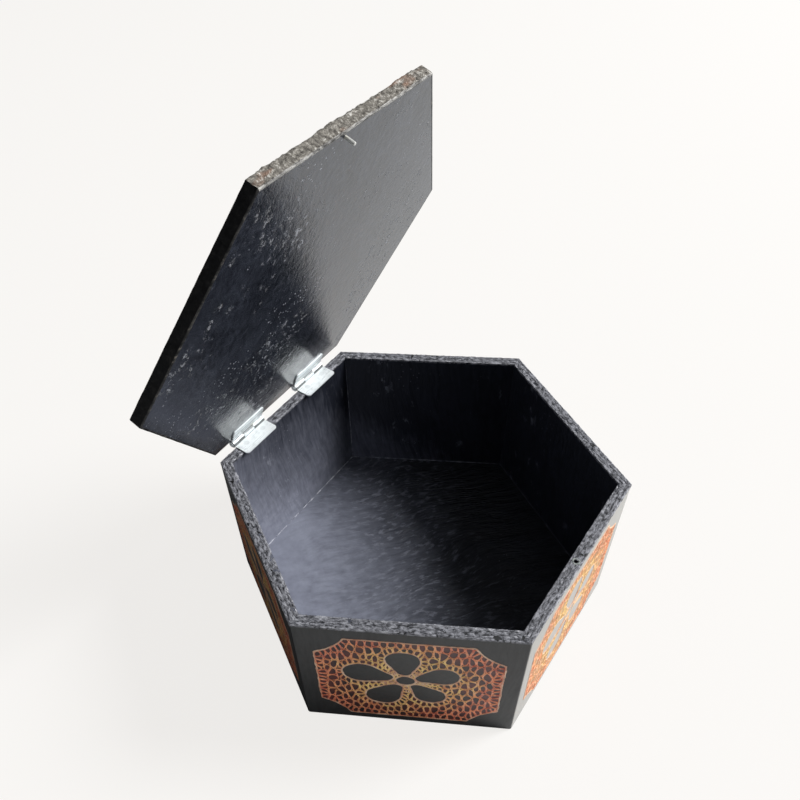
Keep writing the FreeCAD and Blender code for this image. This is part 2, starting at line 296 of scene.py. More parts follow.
def painted_light_pool(s, stir, shift=0.0):
    """Share of painted light over the inside: full low down and on the hinges' side, where the key light
    falls, none opposite, where the walls shade it.

    stir breaks up the edge of the painted light, and shift, in metres, moves it away from the hinges.
    """
    place = s.coordinates()
    drift = s.noise(place, 22.0, 3.0)
    across = s.vector("DOT_PRODUCT", place, LIGHT_POOL_FALL, "Value")
    across = s.plus(across, s.times(s.math("SUBTRACT", drift, 0.5), 0.05))
    across = s.plus(across, s.times(s.math("SUBTRACT", stir, 0.5), 0.07))
    return s.span(s.math("SUBTRACT", across, shift), *LIGHT_POOL_SPAN, 1.0, 0.0)


def wall_paint(wall, turn, painted_light):
    """Varnished charcoal outside, semi-gloss blue-black inside, on one wall of the box."""
    s = Shader(wall + "_paint")
    place = s.coordinates((0, 0, -turn))
    depth = s.node("ShaderNodeSeparateXYZ", {0: place}, output="Y")
    outside = s.math("LESS_THAN", depth, WALL_THICKNESS / 2 - APOTHEM)
    upright = swirled(s, s.mapped(place, (0, math.radians(84), 0)), 0.012)

    # inside: brushed black and rubbed, with painted light: a pale blue-grey tone where the key light falls,
    # the bare dark paint in painted shade
    inner, height, fine = brushed_paint(s, upright, rgb(16, 18, 25), rgb(42, 45, 55), 9.0, 700.0)
    # painted light: the pale tone below lies where the key light falls on the inside, fading into painted
    # shade
    painted_pool = painted_light_pool(s, fine)
    blotches = s.noise(upright, 240.0, 4.0, 0.6)
    pool_tone = s.mix(s.span(blotches, 0.3, 0.7), rgb(124, 127, 141), rgb(146, 149, 163))
    inner = s.mix(painted_pool, inner, pool_tone)
    specks = s.math("ADD", dust(s, place, 520.0, 48.0, 0.16), dust(s, place, 190.0, 60.0, 0.08), clamp=True)
    smears = s.noise(s.mapped(upright, scale=(0.4, 1, 1)), 260.0, 5.0, 0.7)
    smears = s.times(s.span(smears, 0.60, 0.70), s.span(s.noise(place, 40.0), 0.5, 0.62))
    worn = s.math("MAXIMUM", specks, smears)
    inner = s.mix(s.times(worn, 0.7), inner, rgb(168, 171, 182))

    # outside: smooth charcoal
    grain = s.noise(s.mapped(place, scale=(1, 1, 0.25)), 420.0, 4.0)
    cloud = s.noise(place, 45.0, 4.0)
    outer = s.mix(s.span(grain, 0.3, 0.7), rgb(31, 32, 33), rgb(46, 47, 48))
    outer = s.mix(s.span(cloud, 0.45, 0.7, 0.0, 0.5), outer, rgb(56, 57, 58))
    # outside: painted light on some walls, a pale sheen at grazing angles on the latch wall and painted shade
    # on the wall left of the hinges
    tone = s.mix(outside, inner, s.with_painted_light(outer, painted_light))

    # relief, strongest where the inside has no painted light
    strength = s.times(s.span(painted_pool, 0.3, 0.9, 1.0, 0.3), s.math("SUBTRACT", 1.0, outside))
    strength = s.plus(strength, s.times(outside, 0.2))
    height = s.plus(height, s.times(worn, 0.3))
    normal = s.bump(height, 0.0003, strength)
    rough = s.mix(outside, (0.40, 0.40, 0.40, 1), (0.46, 0.46, 0.46, 1))
    rough = s.plus(rough, s.span(fine, 0.3, 0.7, -0.04, 0.06))
    return s.finish(Base_Color=tone, Roughness=rough, Normal=normal,
                    Specular_IOR_Level=gloss_for_painted_light(painted_light))


def floor_paint():
    """Curved strokes of semi-gloss paint with dust specks, and painted light: a pale tone where the key light
    falls, with painted highlights on strokes at its edge.
    """
    s = Shader("floor_paint")
    place = s.coordinates((0, 0, math.radians(38)))
    bent = swirled(s, place, 0.030, 13.0)
    tone, height, fine = brushed_paint(s, bent, rgb(15, 17, 22), rgb(46, 49, 58), 5.0, 480.0)
    # painted light: a pale tone where the key light falls on the floor, dark paint in the walls' shadow
    painted_pool = painted_light_pool(s, fine)
    blotches = s.noise(bent, 200.0, 4.0, 0.6)
    pool_tone = s.mix(s.span(blotches, 0.3, 0.7), rgb(116, 119, 132), rgb(134, 138, 151))
    # painted highlights: pale brush strokes at the edge of the painted light, where ridges would catch the
    # key light
    short = s.noise(s.mapped(bent, scale=(0.34, 1.0, 1.0)), 640.0, 3.0, 0.6)
    strokes = s.times(s.span(short, 0.54, 0.64), s.span(painted_pool, 0.03, 0.35))
    tone = s.mix(s.span(painted_pool, 0.15, 1.0), tone, pool_tone)
    tone = s.mix(s.times(strokes, s.span(painted_pool, 0.5, 1.0, 0.75, 0.1)), tone, rgb(136, 139, 151))
    specks = s.math("ADD", dust(s, place, 520.0, 40.0, 0.13), dust(s, place, 200.0, 60.0, 0.06), clamp=True)
    tone = s.mix(s.times(specks, 0.7), tone, rgb(160, 163, 172))
    normal = s.bump(height, 0.0012, s.span(painted_pool, 0.4, 0.95, 1.0, 0.08))
    normal = s.bump(specks, 0.0001, 1.0, normal)
    rough = s.span(fine, 0.3, 0.7, 0.32, 0.48)
    return s.finish(Base_Color=tone, Roughness=rough, Normal=normal, Specular_IOR_Level=0.5)


def lid_paint():
    """Glossy black with long fine strokes from the hinges to the front, dusty and scuffed."""
    s = Shader("lid_paint")
    place = s.coordinates((0, 0, math.pi / 2))
    bent = swirled(s, place, 0.005)
    tone, _, fine = brushed_paint(s, bent, rgb(20, 22, 28), rgb(60, 64, 74), 16.0, 420.0)
    ragged = swirled(s, place, 0.0012, 700.0)
    specks = s.math("ADD", dust(s, ragged, 560.0, 30.0, 0.21), dust(s, ragged, 190.0, 50.0, 0.10), clamp=True)
    scuffs = s.noise(s.mapped(place, scale=(0.5, 1.0, 1.0)), 330.0, 5.0, 0.75)
    scuffs = s.times(s.span(scuffs, 0.58, 0.66), s.span(s.noise(place, 34.0), 0.50, 0.60))
    worn = s.math("MAXIMUM", specks, scuffs)
    tone = s.mix(s.times(worn, 0.75), tone, rgb(172, 175, 184))
    normal = s.bump(fine, 0.0001)
    normal = s.bump(worn, 0.0002, 1.0, normal)
    rough = s.plus(s.span(fine, 0.3, 0.7, 0.09, 0.20), s.times(worn, 0.3))
    return s.finish(Base_Color=tone, Roughness=rough, Normal=normal, Specular_IOR_Level=0.58)


def petal_paint(name, painted_light=None):
    """Smooth greenish black of the flowers and of their round middles."""
    s = Shader(name)
    place = s.coordinates()
    grain = s.noise(place, 600.0, 4.0)
    tone = s.mix(s.span(grain, 0.3, 0.7), rgb(26, 28, 28), rgb(42, 44, 45))
    normal = s.bump(grain, 0.00003)
    return s.finish_with_painted_light(tone, painted_light, 0.4, normal)


def crust(name, dark, light, fleck, fleck_share, scale=620.0, relief=0.0005, turn=0.0, gloss=GLOSS):
    """Thick scaly paint, brushed along the X axis turned by turn, rubbed pale on some of its high spots."""
    s = Shader(name)
    place = s.mapped(s.coordinates((0, 0, -turn)), scale=(0.42, 1.0, 1.0))
    bent = swirled(s, place, 0.0016, 300.0)
    lumps = s.noise(bent, scale, 6.0, 0.72)
    scales = s.cells(bent, scale * 0.9)
    clouds = s.noise(place, 110.0, 3.0)
    tone = s.mix(s.span(lumps, 0.40, 0.60), dark, light)
    tone = s.mix(s.span(clouds, 0.42, 0.66, 0.0, 0.3), tone, dark)
    flecks = s.times(s.span(lumps, 0.55, 0.66), s.span(clouds, 0.36, 0.60))
    tone = s.mix(s.times(flecks, fleck_share), tone, fleck)
    height = s.plus(lumps, s.times(scales, 0.5))
    normal = s.bump(height, relief)
    return s.finish(Base_Color=tone, Roughness=s.span(lumps, 0.3, 0.7, 0.42, 0.7), Normal=normal,
                    Specular_IOR_Level=gloss)


def seam_glue():
    """Glue in the inner joints: pale where the painted light falls, as dark as the paint elsewhere, in
    painted shade.
    """
    s = Shader("seam_glue")
    place = s.coordinates()
    breaks = s.noise(place, 260.0, 4.0, 0.7)
    pale = s.mix(s.span(breaks, 0.42, 0.58), rgb(112, 115, 127), rgb(196, 198, 206))
    tone = s.mix(painted_light_pool(s, breaks, 0.05), rgb(16, 18, 24), pale)
    normal = s.bump(breaks, 0.0002)
    return s.finish(Base_Color=tone, Roughness=0.5, Normal=normal, Specular_IOR_Level=0.3)


def raw_edge():
    """The lid's front edge, where the paint has gone and brown wood shows through grey filler."""
    s = Shader("raw_edge")
    place = s.coordinates()
    lumps = s.noise(swirled(s, place, 0.0012, 500.0), 620.0, 6.0, 0.75)
    clouds = s.noise(s.mapped(place, scale=(1.0, 2.5, 2.5)), 60.0, 3.0)
    tone = s.mix(s.span(lumps, 0.36, 0.62), rgb(44, 40, 37), rgb(162, 157, 148))
    bare = s.span(clouds, 0.58, 0.68)
    tone = s.mix(s.times(bare, s.span(lumps, 0.35, 0.6, 0.15, 0.6)), tone, rgb(158, 104, 70))
    chips = s.times(s.span(lumps, 0.56, 0.64), s.span(clouds, 0.30, 0.5, 0.3, 0.9))
    tone = s.mix(chips, tone, rgb(228, 226, 220))
    normal = s.bump(lumps, 0.0006)
    return s.finish(Base_Color=tone, Roughness=0.75, Normal=normal, Specular_IOR_Level=0.25)


def mosaic_ground(name, painted_light=None):
    """Dark maroon field under the raised lines."""
    s = Shader(name)
    place = s.coordinates()
    patches = s.noise(place, 190.0, 4.0)
    tone = s.mix(s.span(patches, 0.36, 0.64), rgb(28, 15, 16), rgb(96, 32, 28))
    normal = s.bump(s.noise(place, 900.0), 0.00004)
    return s.finish_with_painted_light(tone, painted_light, 0.4, normal)


def mosaic_line(name, reach, painted_light=None):
    """Raised contour lines: copper red at the border, gold towards the flower at the object's origin, with
    painted pale highlights.
    """
    s = Shader(name)
    place = s.coordinates()
    distance = s.vector("LENGTH", place, output="Value")
    drift = s.noise(place, 95.0, 4.0)
    blend = s.plus(distance, s.times(s.math("SUBTRACT", drift, 0.5), reach * 1.1))
    red = s.span(blend, reach * 0.46, reach * 0.92)
    stain = s.noise(s.mapped(place, scale=(1, 0.5, 1)), 340.0, 4.0)
    outer = s.mix(s.span(stain, 0.36, 0.62), rgb(198, 86, 60), rgb(255, 154, 108))
    inner = s.mix(s.span(stain, 0.36, 0.62), rgb(218, 156, 88), rgb(255, 220, 136))
    tone = s.mix(red, inner, outer)
    glint_and_bump = s.noise(place, 900.0, 3.0)
    # painted highlights: pale pink spots on the lines; the same noise gives their bumps
    tone = s.mix(s.span(glint_and_bump, 0.5, 0.75, 0.0, 0.75), tone, rgb(255, 206, 170))
    normal = s.bump(glint_and_bump, 0.0001)
    return s.finish_with_painted_light(tone, painted_light, 0.36, normal)


def outline_line(name, painted_light=None):
    """Pale tan of the lines round the petals, the eye and the whole panel."""
    s = Shader(name)
    place = s.coordinates()
    stain = s.noise(place, 210.0, 4.0)
    tone = s.mix(s.span(stain, 0.38, 0.62), rgb(204, 140, 108), rgb(240, 206, 176))
    normal = s.bump(s.noise(place, 900.0), 0.0001)
    return s.finish_with_painted_light(tone, painted_light, 0.36, normal)


def zinc(name, tone, roughness, creases=(), tilt=0.0):
    """Dull zinc plate: drawing lines, dull spots, yellow stains and dark lines along its creases, of which
    the one where the leaf meets the barrel is painted shade.

    creases are distances from the hinge's axis towards the latch, on a leaf that is tilted by tilt about it.
    """
    s = Shader(name)
    place = s.coordinates()
    lines = s.noise(s.mapped(place, scale=(0.07, 1, 1)), 2300.0, 4.0)
    spots = s.noise(place, 420.0, 4.0)
    stain = s.noise(place, 90.0, 3.0)
    colour = s.mix(s.span(spots, 0.5, 0.7, 0.0, 0.5), tone, rgb(190, 197, 199))
    colour = s.mix(s.span(stain, 0.60, 0.70, 0.0, 0.55), colour, rgb(196, 188, 150))
    colour = s.mix(s.span(spots, 0.68, 0.74, 0.0, 0.8), colour, rgb(84, 80, 70))
    towards = Vector((0, -math.cos(tilt), math.sin(tilt)))
    depth = s.vector("DOT_PRODUCT", place, towards, "Value")
    # dark lines along the creases; where the leaf meets the barrel this is painted shade
    for crease in creases:
        off = s.math("ABSOLUTE", s.math("SUBTRACT", depth, crease + PIVOT.dot(towards)))
        crease_offset = s.plus(off, s.times(s.math("SUBTRACT", spots, 0.5), 0.0006))
        colour = s.mix(s.span(crease_offset, 0.00012, 0.00034, 0.85, 0.0), colour, rgb(40, 46, 46))
    normal = s.bump(s.plus(lines, s.times(spots, 0.5)), 0.00008)
    rough = s.span(lines, 0.3, 0.7, roughness - 0.08, roughness + 0.12)
    return s.finish(Base_Color=colour, Metallic=0.2, Roughness=rough, Normal=normal)


def pale_floor():
    """Near-white ground: mostly its own white for the camera, with a soft shadow."""
    s = Shader("pale_floor")
    path = s.tree.nodes.new("ShaderNodeLightPath").outputs
    lit = s.node("ShaderNodeBsdfDiffuse", {"Color": (0.86, 0.86, 0.85, 1)})
    white = s.node("ShaderNodeEmission", {"Color": (1.0, 0.98, 0.955, 1), "Strength": 0.97})
    share = s.times(path["Is Camera Ray"], GROUND_GLOW)
    s.node_output(s.node("ShaderNodeMixShader", {0: share, 1: lit, 2: white}))
    return s.material


# ---- placing ----
def wall_turn(index):
    """Turns what is drawn on the front wall to the wall of that number."""
    return Matrix.Rotation(index * math.pi / 3, 4, "Z")


def new_object(name, vertices, faces, materials, indices=None, smooth=True):
    """A mesh object in the scene. indices gives each face's place in materials."""
    mesh = bpy.data.meshes.new(name)
    mesh.from_pydata(vertices, [], faces)
    for material in materials:
        mesh.materials.append(material)
    if indices is not None:
        mesh.polygons.foreach_set("material_index", indices)
    mesh.polygons.foreach_set("use_smooth", [smooth] * len(mesh.polygons))
    mesh.update()
    made = bpy.data.objects.new(name, mesh)
    bpy.context.scene.collection.objects.link(made)
    return made


def set_material(node, material):
    for slot in frame["nodes"][node].material_slots:
        slot.link = "OBJECT"
        slot.material = material


# ---- flat drawing helpers (millimetres) ----
def wobble(point, amount, seed):
    """Shifts a point a little, smoothly along the drawing, as a hand does."""
    where = Vector((point[0] * 0.22, point[1] * 0.22, seed))
    shift = noise.noise_vector(where)
    return point[0] + amount * shift.x, point[1] + amount * shift.y


def resample(points, step, closed=True):
    """Evenly spaced points along a polyline."""
    path = list(points) + ([points[0]] if closed else [])
    lengths = [0.0]
    for a, b in zip(path, path[1:]):
        lengths.append(lengths[-1] + math.dist(a, b))
    count = max(3, round(lengths[-1] / step))
    result = []
    segment = 0
    for k in range(count if closed else count + 1):
        target = lengths[-1] * k / count
        while segment < len(path) - 2 and lengths[segment + 1] < target:
            segment += 1
        size = lengths[segment + 1] - lengths[segment]
        share = (target - lengths[segment]) / size if size else 0.0
        a, b = path[segment], path[segment + 1]
        result.append((a[0] + (b[0] - a[0]) * share, a[1] + (b[1] - a[1]) * share))
    return result


def arc(centre, radius, first, last, steps):
    """Points along an arc from one angle to another, both ends included."""
    angles = [first + (last - first) * k / steps for k in range(steps + 1)]
    return [(centre[0] + radius * math.cos(a), centre[1] + radius * math.sin(a)) for a in angles]


def rounded(points, times=2):
    """Cuts a closed outline's corners, so that it runs in soft curves."""
    for _ in range(times):
        cut = []
        for a, b in zip(points, points[1:] + points[:1]):
            cut.append((0.75 * a[0] + 0.25 * b[0], 0.75 * a[1] + 0.25 * b[1]))
            cut.append((0.25 * a[0] + 0.75 * b[0], 0.25 * a[1] + 0.75 * b[1]))
        points = cut
    return points


def scooped_outline(corners, half_angle, cut, outset, inset, steps=10):
    """A convex outline (anticlockwise) whose corners are hollowed by arcs, moved in by inset."""
    radius = math.hypot(outset + cut * math.cos(half_angle), cut * math.sin(half_angle)) + inset
    shift = inset / math.sin(half_angle)
    outline = []
    count = len(corners)
    for k, corner in enumerate(corners):
        before = corners[k - 1]
        after = corners[(k + 1) % count]
        into = unit(before, corner)
        away = unit(corner, after)
        outward = unit((0, 0), (into[0] - away[0], into[1] - away[1]))
        centre = (corner[0] + outset * outward[0], corner[1] + outset * outward[1])
        sharp = (corner[0] - shift * outward[0], corner[1] - shift * outward[1])
        start = circle_hit(sharp, (-into[0], -into[1]), centre, radius)
        end = circle_hit(sharp, away, centre, radius)
        first = math.atan2(start[1] - centre[1], start[0] - centre[0])
        last = math.atan2(end[1] - centre[1], end[0] - centre[0])
        if last > first:
            last -= 2 * math.pi
        outline += arc(centre, radius, first, last, steps)
    return outline


def unit(start, end):
    """Direction from start to end, of length 1."""
    dx, dy = end[0] - start[0], end[1] - start[1]
    size = math.hypot(dx, dy)
    return dx / size, dy / size


def circle_hit(start, direction, centre, radius):
    """Where a ray from inside a circle leaves it."""
    fx, fy = start[0] - centre[0], start[1] - centre[1]
    along = fx * direction[0] + fy * direction[1]
    reach = -along + math.sqrt(along ** 2 - (fx * fx + fy * fy - radius ** 2))
    return start[0] + reach * direction[0], start[1] + reach * direction[1]


def petal_outline(number, scale, grow, steps=14):
    """Two round ends joined by tangents, turned to its place round the flower's centre."""
    size = scale * PETAL_SIZES[number]
    root, root_radius = PETAL_ROOT[0] * size, PETAL_ROOT[1] * size + grow
    tip, tip_radius = PETAL_TIP[0] * size, PETAL_TIP[1] * size + grow
    lean = math.acos((root_radius - tip_radius) / (tip - root))
    points = arc((tip, 0), tip_radius, -lean, lean, steps)
    points += arc((root, 0), root_radius, lean, 2 * math.pi - lean, steps // 2)
    angle = petal_angle(number)
    cos, sin = math.cos(angle), math.sin(angle)
    return [(x * cos - y * sin, x * sin + y * cos) for x, y in points]


def petal_angle(number):
    """Where a petal points, in radians from the X axis."""
    return math.pi / 2 + FLOWER_TURN + 2 * math.pi * number / len(PETAL_SIZES)


def circle(radius, steps=20):
    return arc((0, 0), radius, 0.0, 2 * math.pi, steps)[:-1]


def inside(point, outline):
    """Whether a point lies in a closed outline."""
    x, y = point
    odd = False
    for (ax, ay), (bx, by) in zip(outline, outline[1:] + outline[:1]):
        if (ay > y) != (by > y) and x < (bx - ax) * (y - ay) / (by - ay) + ax:
            odd = not odd
    return odd


# ---- mosaic cells ----
SQUEEZE = 0.52               # cells stand upright: heights count for this much when neighbours are found
SCATTER_TRIES = 12000


def clip(polygon, middle, direction):
    """Keeps the part of a convex polygon that lies behind a line through middle."""
    kept = []
    for a, b in zip(polygon, polygon[1:] + polygon[:1]):
        da = (a[0] - middle[0]) * direction[0] + (a[1] - middle[1]) * direction[1]
        db = (b[0] - middle[0]) * direction[0] + (b[1] - middle[1]) * direction[1]
        if da <= 0:
            kept.append(a)
        if (da < 0 < db) or (db < 0 < da):
            share = da / (da - db)
            kept.append((a[0] + (b[0] - a[0]) * share, a[1] + (b[1] - a[1]) * share))
    return kept


def cell_polygons(seeds, ghosts, reach, gap):
    """The cell round each seed, clear of its neighbours' cells by twice the gap. Ghosts have no cells."""
    flat = [(x, y * SQUEEZE) for x, y in seeds + ghosts]
    cells = []
    for seed in flat[:len(seeds)]:
        x, y = seed
        left, right, low, high = x - reach, x + reach, y - reach, y + reach
        cell = [(left, low), (right, low), (right, high), (left, high)]
        near = [p for p in flat if p is not seed and math.dist(p, seed) < 2 * reach]
        for other in sorted(near, key=lambda p: math.dist(p, seed)):
            direction = unit(seed, other)
            half = math.dist(seed, other) / 2 - gap
            middle = (x + direction[0] * half, y + direction[1] * half)
            cell = clip(cell, middle, direction)
            if len(cell) < 3:
                break
        if len(cell) >= 3:
            cells.append([(u, v / SQUEEZE) for u, v in cell])
    return cells


def upright_distance(a, b):
    """Distance in which upright gaps count for less."""
    return math.hypot(a[0] - b[0], (a[1] - b[1]) * SQUEEZE)


def mosaic_seeds(rng, outlines, petals, spacing):
    """Seeds in a row along the border, round each petal, and scattered upright in between.

    outlines(inset) and petals(grow) give closed outlines.
    """
    seeds = []
    border = outlines(0.0)
    keep_out = petals(0.7)

    def add(point, apart, measure):
        if inside(point, border) and not any(inside(point, q) for q in keep_out):
            if all(measure(point, other) > apart for other in seeds):
                seeds.append(point)

    def add_row(shape, pitch, apart):
        for x, y in resample(shape, pitch):
            moved = (x + rng.uniform(-0.15, 0.15) * pitch, y + rng.uniform(-0.15, 0.15) * pitch)
            add(moved, apart, math.dist)

    add_row(outlines(0.72 * spacing), 1.04 * spacing, 0.7 * spacing)
    for petal in petals(0.52 * spacing):
        add_row(petal, 0.92 * spacing, 0.62 * spacing)
    low_x, high_x = min(p[0] for p in border), max(p[0] for p in border)
    low_y, high_y = min(p[1] for p in border), max(p[1] for p in border)
    for _ in range(SCATTER_TRIES):
        place = (rng.uniform(low_x, high_x), rng.uniform(low_y, high_y))
        add(place, 0.84 * spacing, upright_distance)
    return seeds


def held(point, border, petals):
    """Moves a point of a cell back inside the border and out of the petals."""
    if not inside(point, border):
        return nearest(point, border)
    for petal in petals:
        if inside(point, petal):
            return nearest(point, petal)
    return point


def nearest(point, outline):
    """The point of an outline that lies nearest."""
    return min(outline, key=lambda p: math.dist(p, point))


# ---- raised lines ----
class Lines:
    """Collects raised lines, drawn flat in millimetres, into one mesh with z standing out of the panel."""

    LONGEST_STEP = 1.3           # a longer step is left out, where a cell's ring was pushed apart
    SECTION = ((-0.5, -0.05), (-0.22, 0.95), (0.22, 0.95), (0.5, -0.05))   # in widths across, heights up
    SWELL = 0.7
    CELL, OUTLINE = 0, 1         # places of the two finishes in the list given to build

    def __init__(self):
        self.vertices = []
        self.faces = []
        self.indices = []

    def draw(self, points, width, height, closed=True, material=CELL):
        count = len(points)
        first = len(self.vertices)
        rows = len(self.SECTION)
        for k, (x, y) in enumerate(points):
            if closed:
                a, b = points[k - 1], points[(k + 1) % count]
            else:
                a, b = points[max(k - 1, 0)], points[min(k + 1, count - 1)]
            dx, dy = unit(a, b) if a != b else (1.0, 0.0)
            swell = 1.0 + self.SWELL * noise.noise(Vector((x * 0.6, y * 0.6, width * 10)))
            for across, up in self.SECTION:
                offset = across * width * swell
                self.vertices.append(((x - dy * offset) * MM, (y + dx * offset) * MM, up * height * MM))
        for k in range(count if closed else count - 1):
            if math.dist(points[k], points[(k + 1) % count]) > self.LONGEST_STEP:
                continue
            here = first + rows * k
            there = first + rows * ((k + 1) % count)
            for j in range(rows - 1):
                self.faces.append((here + j, there + j, there + j + 1, here + j + 1))
                self.indices.append(material)

    def build(self, name, materials):
        return new_object(name, self.vertices, self.faces, materials, self.indices)


def draw_flower(lines, scale, width):
    """Lines round the petals and the eye, and two short rays in each gap between petals."""
    for number in range(len(PETAL_SIZES)):
        outline = resample(petal_outline(number, scale, 0.3), 0.7)
        outline = [wobble(p, 0.25, 3.0 + number) for p in outline]
        lines.draw(outline, width, PETAL_HEIGHT, material=Lines.OUTLINE)
        between = petal_angle(number) + math.pi / len(PETAL_SIZES)
        for side in (-1, 1):
            lean = between + side * RAY_SPREAD
            start, end = (EYE_RADIUS + 0.4) * scale, RAY_END * scale
            path = [(r * math.cos(lean), r * math.sin(lean)) for r in (start, (start + end) / 2, end)]
            path = [wobble(p, 0.2, 6.0 + side) for p in resample(path, 0.7, closed=False)]
            lines.draw(path, width * 0.75, RAY_HEIGHT, closed=False, material=Lines.OUTLINE)
    eye = [wobble(p, 0.35, 9.0) for p in resample(circle(EYE_RADIUS * scale + 0.3), 0.6)]
    lines.draw(eye, width * 1.15, EYE_HEIGHT, material=Lines.OUTLINE)


def draw_mosaic(corners, half_angle, cut, outset, scale, shift, spacing, seed, width):
    """All raised lines of one panel, drawn about the middle of its flower, which lies at shift."""
    rng = random.Random(seed)

    def outlines(inset):
        drawn = scooped_outline(corners, half_angle, cut, outset, inset)
        return [(x - shift[0], y - shift[1]) for x, y in drawn]

    def petals(grow):
        shapes = [petal_outline(k, scale, grow) for k in range(len(PETAL_SIZES))]
        return shapes + [circle(EYE_RADIUS * scale + grow)]

    lines = Lines()
    border = resample(outlines(0.45), 0.4)
    blossom = [resample(p, 0.4) for p in petals(0.45)]
    ghosts = resample(outlines(-0.72 * spacing), 0.7 * spacing)
    for petal in petals(-0.5 * spacing):
        ghosts += resample(petal, 0.5 * spacing)
    seeds = mosaic_seeds(rng, outlines, petals, spacing)
    least, spread = CELL_HEIGHTS
    for cell in cell_polygons(seeds, ghosts, 2.4 * spacing, 0.12):
        ring = resample(rounded(cell, 2), 0.55)
        if len(ring) < 6:
            continue
        ring = [held(wobble(p, 0.42, seed), border, blossom) for p in ring]
        ring = [p for p, q in zip(ring, ring[1:] + ring[:1]) if p != q]
        if len(ring) > 3:
            lines.draw(ring, width * rng.uniform(0.7, 1.2), least + spread * rng.random())
    edge = [wobble(p, 0.25, seed + 5.0) for p in resample(outlines(0.3), 0.7)]
    lines.draw(edge, width * 1.15, EDGE_HEIGHT, material=Lines.OUTLINE)
    draw_flower(lines, scale, width * 1.2)
    return lines


def build_wall_mosaics(materials, light_painted_materials):
    """The raised lines of the six walls. The second argument holds the finishes of the walls that carry
    painted sheen or painted shade.
    """
    low, high = (Vector(c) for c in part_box("front_ornament"))
    half = ((high.x - low.x) / 2 / MM, (high.z - low.z) / 2 / MM)
    corners = [(-half[0], -half[1]), (half[0], -half[1]), (half[0], half[1]), (-half[0], half[1])]
    stand = Matrix.Rotation(math.pi / 2, 4, "X")
    middle = Vector((FLOWER_SHIFT * MM, -APOTHEM, (low.z + high.z) / 2 + FLOWER_LIFT * MM))
    shift = (FLOWER_SHIFT, FLOWER_LIFT)
    shape = (corners, math.pi / 4, CORNER_CUT, CORNER_OUTSET, 1.0, shift)
    drawings = [draw_mosaic(*shape, CELL_SPACING, seed, LINE_WIDTH) for seed in DRAWING_SEEDS]
    for k, wall in enumerate(WALLS):
        chosen = light_painted_materials.get(wall, materials)
        piece = drawings[k % len(drawings)].build(wall + "_mosaic_lines", chosen)
        piece.matrix_world = wall_turn(k) @ Matrix.Translation(middle) @ stand
        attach(piece, "box")


def build_lid_mosaic(materials):
    """The raised lines of the lid."""
    low, high = shut_box("lid_ornament")
    apothem = (high.y - low.y) / 2 / MM
    radius = apothem / math.cos(math.pi / 6)
    corners = circle(radius, steps=6)
    shape = (corners, math.pi / 3, LID_CORNER_CUT, LID_CORNER_OUTSET, LID_FLOWER_SCALE, (0, 0))
    lines = draw_mosaic(*shape, LID_CELL_SPACING, LID_DRAWING_SEED, LID_LINE_WIDTH)
    piece = lines.build("lid_mosaic_lines", materials)
    piece.matrix_world = OPENING @ Matrix.Translation(Vector((0, 0, high.z)))
    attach(piece, "lid")


# ---- worn paint along the rim and the lid's edges ----
def ring_strip(name, profile, side_count, materials, choose, thickness, skip=None):
    """A skin of lumpy paint that follows a profile round the hexagon.

    profile lists (outset from the outer face, height, outward normal x, z) in metres. choose(side, column)
    picks each face's material and thickness(point, side) how thick the paint is there. skip(point) leaves a
    hole.
    """
    vertices, faces, indices = [], [], []
    rows = len(profile)
    total = 6 * side_count
    for step in range(total):
        side, place = divmod(step, side_count)
        share = 2 * place / side_count - 1
        turn = wall_turn(side)
        for outset, height, nx, nz in profile:
            along = share * (APOTHEM + outset) * HALF_SIDE_RATIO
            point = turn @ Vector((along, -(APOTHEM + outset), height))
            normal = turn @ Vector((0, -nx, nz))
            vertices.append(point + normal * thickness(point, side))
    for step in range(total):
        here = rows * step
        there = rows * ((step + 1) % total)
        for j in range(rows - 1):
            face = (here + j, there + j, there + j + 1, here + j + 1)
            centre = sum((vertices[i] for i in face), Vector()) / 4
            if skip is None or not skip(centre):
                faces.append(face)
                indices.append(choose(step // side_count, j))
    return new_object(name, vertices, faces, materials, indices)


def lumpiness(point, scale, seed):
    """Rough height of the paint at a point, around nought."""
    where = point * scale + Vector((seed, seed, seed))
    return noise.fractal(where, 0.7, 2.1, 4)


def faded(thickness, distance):
    """Thickness of a skin of paint at a distance from its end, where it dips below the surface."""
    fade = min(1.0, max(0.0, distance / FADE_LENGTH))
    return thickness * fade * MM - BURIED_END * (1 - fade)


def build_rim(materials):
    """The crust of paint over the walls' top edges, worn pale along both arrises.

    materials holds two finishes a side: the crust and its arrises.
    """
    top = WALL_HEIGHT
    width = WALL_THICKNESS
    profile = [(0, top - RIM_SKIRT, 1, 0), (0, top - 0.7 * MM, 1, 0), (0, top - 0.35 * MM, 1, 0)]
    profile.append((-0.12 * MM, top - 0.1 * MM, 0.7, 0.7))
    across = 10
    for k in range(across + 1):
        outset = -0.4 * MM - (width - 0.5 * MM) * k / across
        profile.append((outset, top, 0, 1))
    profile += [(-width, top - 0.15 * MM, -0.7, 0.7), (-width, top - 0.5 * MM, -1, 0)]
    profile.append((-width, top - 0.9 * MM, -1, 0))
    arrises = (2, 3, across + 3, across + 4)
    hole = latch_hole_centre()

    def choose(side, column):
        return 2 * side + (1 if column in arrises else 0)

    def thickness(point, side):
        rough = lumpiness(point, 900, 1.0) * 0.13 + lumpiness(point, 260, 5.0) * 0.10
        return faded(0.08 + max(-0.09, rough), point.z - (top - RIM_SKIRT))

    def skip(point):
        distance = math.hypot(point.x - hole.x, point.y - hole.y)
        return distance < LATCH_HOLE_OPENING and point.z > top - 0.3 * MM

    rim = ring_strip("rim_paint", profile, 200, materials, choose, thickness, skip)
    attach(rim, "box")


